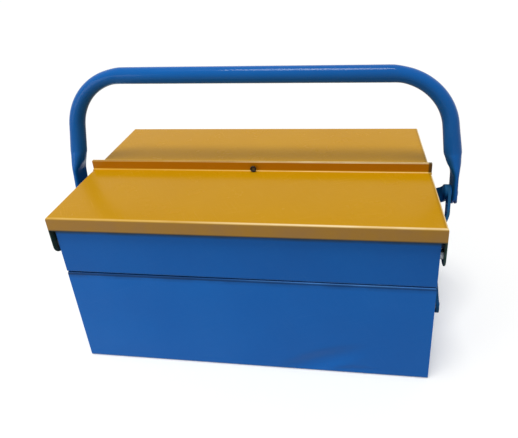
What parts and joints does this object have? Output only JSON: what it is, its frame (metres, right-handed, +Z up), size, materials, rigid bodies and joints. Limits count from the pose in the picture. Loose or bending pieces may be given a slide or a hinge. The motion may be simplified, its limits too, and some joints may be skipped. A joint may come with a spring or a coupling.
{
  "type": "cantilever toolbox",
  "caption": "Steel cantilever toolbox: a lower box, two linked trays that swing outward, two hinged lids and a folding tube handle on riveted stays.",
  "frame": {"origin": "middle of the underside of the lower box, on the surface that the box stands on", "axes": "+X to the right along the length of the box, +Y to the back, +Z up; the front face looks along -Y"},
  "size_m": [0.4776, 0.242, 0.3223],
  "materials": {
    "body_enamel": "glossy blue enamel on sheet steel",
    "handle_enamel": "glossy blue enamel on steel tube, bar and their rivets",
    "lid_enamel": "yellow ochre enamel on sheet steel",
    "zinc_steel": "zinc plated steel rivets and bushes",
    "black_plastic": "black moulded knob"
  },
  "bodies": {
    "base": {"lower_box_wrap": "body_enamel", "lower_end_left": "body_enamel", "lower_end_right": "body_enamel", "front_stay_left": "handle_enamel", "front_stay_right": "handle_enamel", "rear_stay_left": "handle_enamel", "rear_stay_right": "handle_enamel", "stay_bushes": "zinc_steel", "stay_rivets": "handle_enamel", "handle_rivets": "handle_enamel", "handle_washers": "handle_enamel", "link_rivets": "zinc_steel"},
    "front_outer_links": {"front_outer_link_left": "body_enamel", "front_outer_link_right": "body_enamel"},
    "front_inner_links": {"front_inner_link_left": "body_enamel", "front_inner_link_right": "body_enamel"},
    "rear_outer_links": {"rear_outer_link_left": "body_enamel", "rear_outer_link_right": "body_enamel"},
    "rear_inner_links": {"rear_inner_link_left": "body_enamel", "rear_inner_link_right": "body_enamel"},
    "front_tray": {"front_tray_wrap": "body_enamel", "front_tray_end_left": "body_enamel", "front_tray_end_right": "body_enamel", "front_tray_rivets": "zinc_steel", "front_lid_bushes": "zinc_steel", "front_lid_rivets": "zinc_steel"},
    "rear_tray": {"rear_tray_wrap": "body_enamel", "rear_tray_end_left": "body_enamel", "rear_tray_end_right": "body_enamel", "rear_tray_rivets": "zinc_steel", "rear_lid_bushes": "zinc_steel", "rear_lid_rivets": "zinc_steel"},
    "front_lid": {"front_lid": "lid_enamel", "knob": "black_plastic", "knob_nut": "zinc_steel"},
    "rear_lid": {"rear_lid": "lid_enamel"},
    "handle": {"handle_tube": "handle_enamel"}
  },
  "joints": [
    {"name": "front_tray_swing", "type": "hinge", "parent": "base", "child": "front_outer_links", "pos_m": [0, -0.098, 0.112], "axis": [1, 0, 0], "range_deg": [0, 105.5]},
    {"name": "front_tray_level", "type": "hinge", "parent": "front_outer_links", "child": "front_tray", "pos_m": [0, -0.048, 0.15], "axis": [1, 0, 0], "range_deg": [-105.5, 0]},
    {"name": "front_inner_swing", "type": "hinge", "parent": "base", "child": "front_inner_links", "pos_m": [0, -0.062, 0.112], "axis": [1, 0, 0], "range_deg": [0, 105.5]},
    {"name": "rear_tray_swing", "type": "hinge", "parent": "base", "child": "rear_outer_links", "pos_m": [0, 0.098, 0.112], "axis": [-1, 0, 0], "range_deg": [0, 105.5]},
    {"name": "rear_tray_level", "type": "hinge", "parent": "rear_outer_links", "child": "rear_tray", "pos_m": [0, 0.048, 0.15], "axis": [-1, 0, 0], "range_deg": [-105.5, 0]},
    {"name": "rear_inner_swing", "type": "hinge", "parent": "base", "child": "rear_inner_links", "pos_m": [0, 0.062, 0.112], "axis": [-1, 0, 0], "range_deg": [0, 105.5]},
    {"name": "front_lid_hinge", "type": "hinge", "parent": "front_tray", "child": "front_lid", "pos_m": [0, -0.109, 0.165], "axis": [1, 0, 0], "range_deg": [0, 130]},
    {"name": "rear_lid_hinge", "type": "hinge", "parent": "rear_tray", "child": "rear_lid", "pos_m": [0, 0.109, 0.165], "axis": [-1, 0, 0], "range_deg": [0, 130]},
    {"name": "handle_fold", "type": "hinge", "parent": "base", "child": "handle", "pos_m": [0, 0, 0.172], "axis": [1, 0, 0], "range_deg": [-62, 77]}
  ],
  "couplings": [
    {"joint": "front_tray_level", "follows": "front_tray_swing", "ratio": -1},
    {"joint": "front_inner_swing", "follows": "front_tray_swing", "ratio": 1},
    {"joint": "rear_tray_level", "follows": "rear_tray_swing", "ratio": -1},
    {"joint": "rear_inner_swing", "follows": "rear_tray_swing", "ratio": 1}
  ]
}
